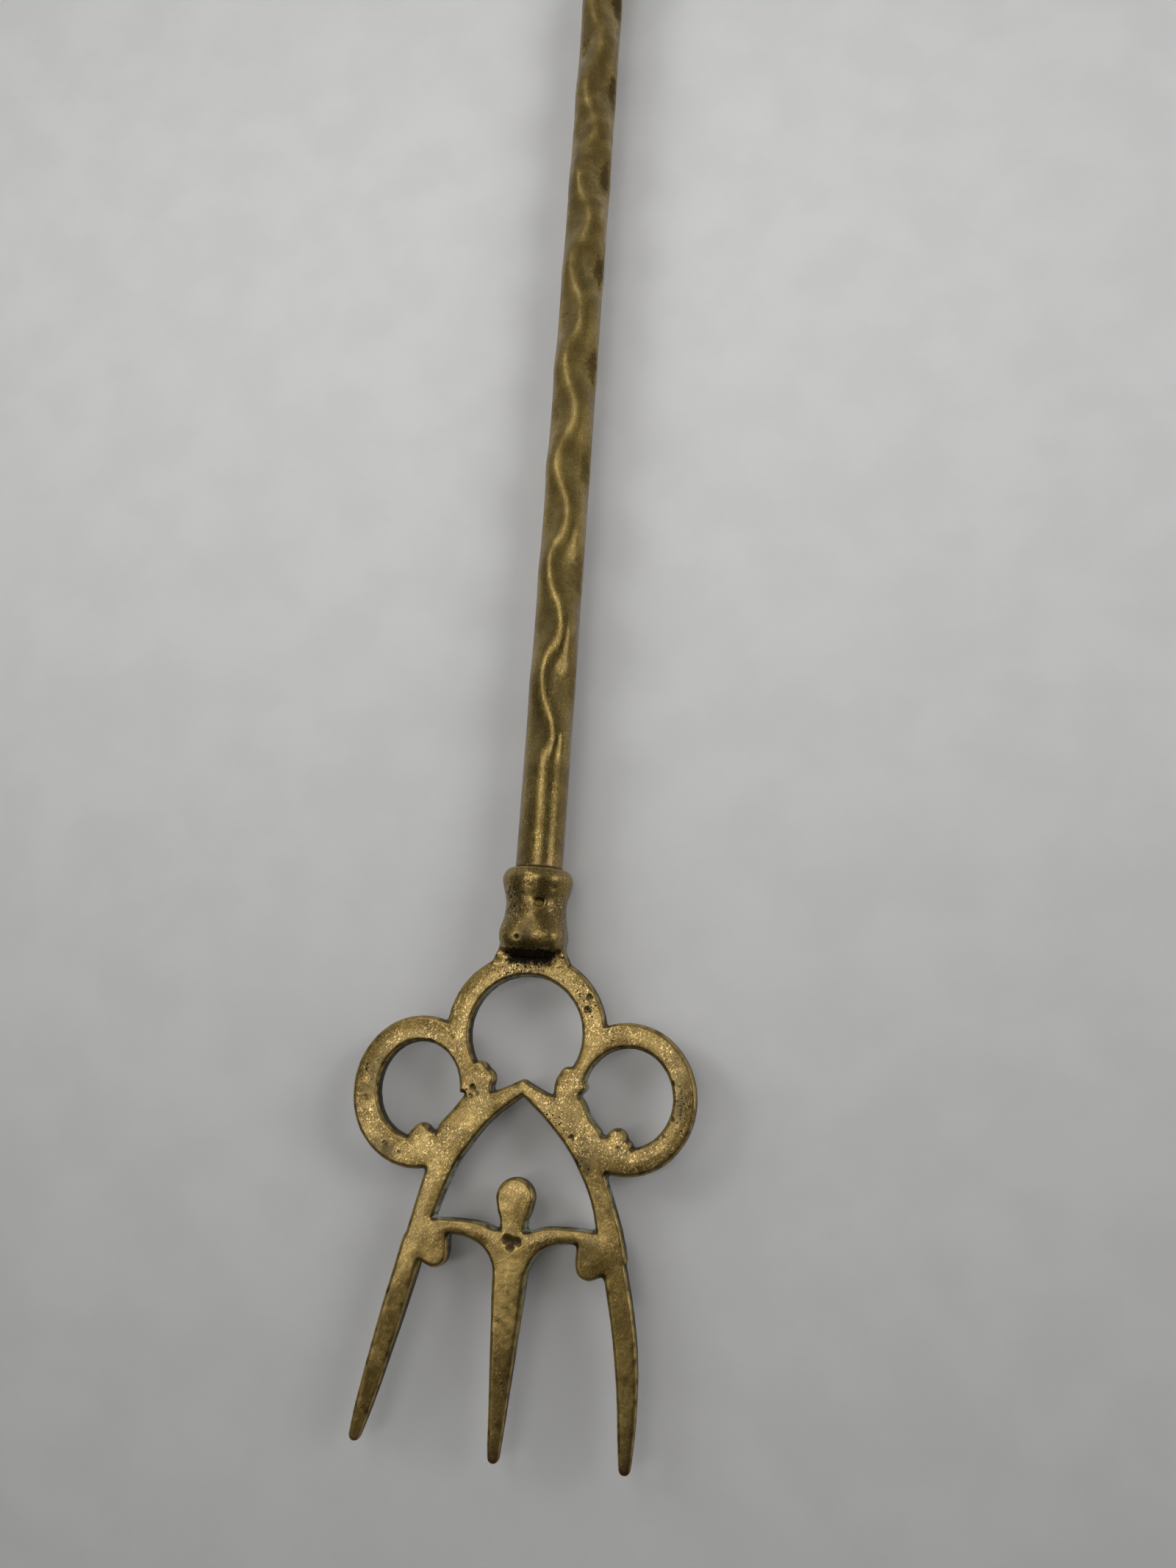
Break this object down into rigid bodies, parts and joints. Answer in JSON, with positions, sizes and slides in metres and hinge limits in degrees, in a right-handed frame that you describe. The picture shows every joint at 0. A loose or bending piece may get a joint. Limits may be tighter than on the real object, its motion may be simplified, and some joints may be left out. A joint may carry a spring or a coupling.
{
  "type": "toasting fork",
  "caption": "Long brass toasting fork: flat cast head of pierced rings, pointed arch and open-armed figure above slender tines, on a pinched tube shaft with a hanging eye.",
  "frame": {"origin": "middle of the fork's length and width, at the level of the surface that its two socket lips rest on", "axes": "+Y along the shaft from the tines to the hanging eye, +Z out of the head's front face, +X to the right of the figure as seen in the picture"},
  "size_m": [0.0563, 0.4521, 0.012],
  "materials": {
    "cast_brass": "sand-cast brass, faces filed and worn bright, tarnished brown in the pits and on the walls",
    "drawn_brass": "drawn brass tube, handled to a dull shine, dark grime in the pinches",
    "pin_brass": "brass wire, filed off and stained rust brown"
  },
  "bodies": {
    "root": {"fork_head": "cast_brass", "shaft_tube": "drawn_brass", "hanging_eye": "cast_brass", "head_pin": "pin_brass", "eye_pin": "pin_brass"}
  },
  "joints": []
}
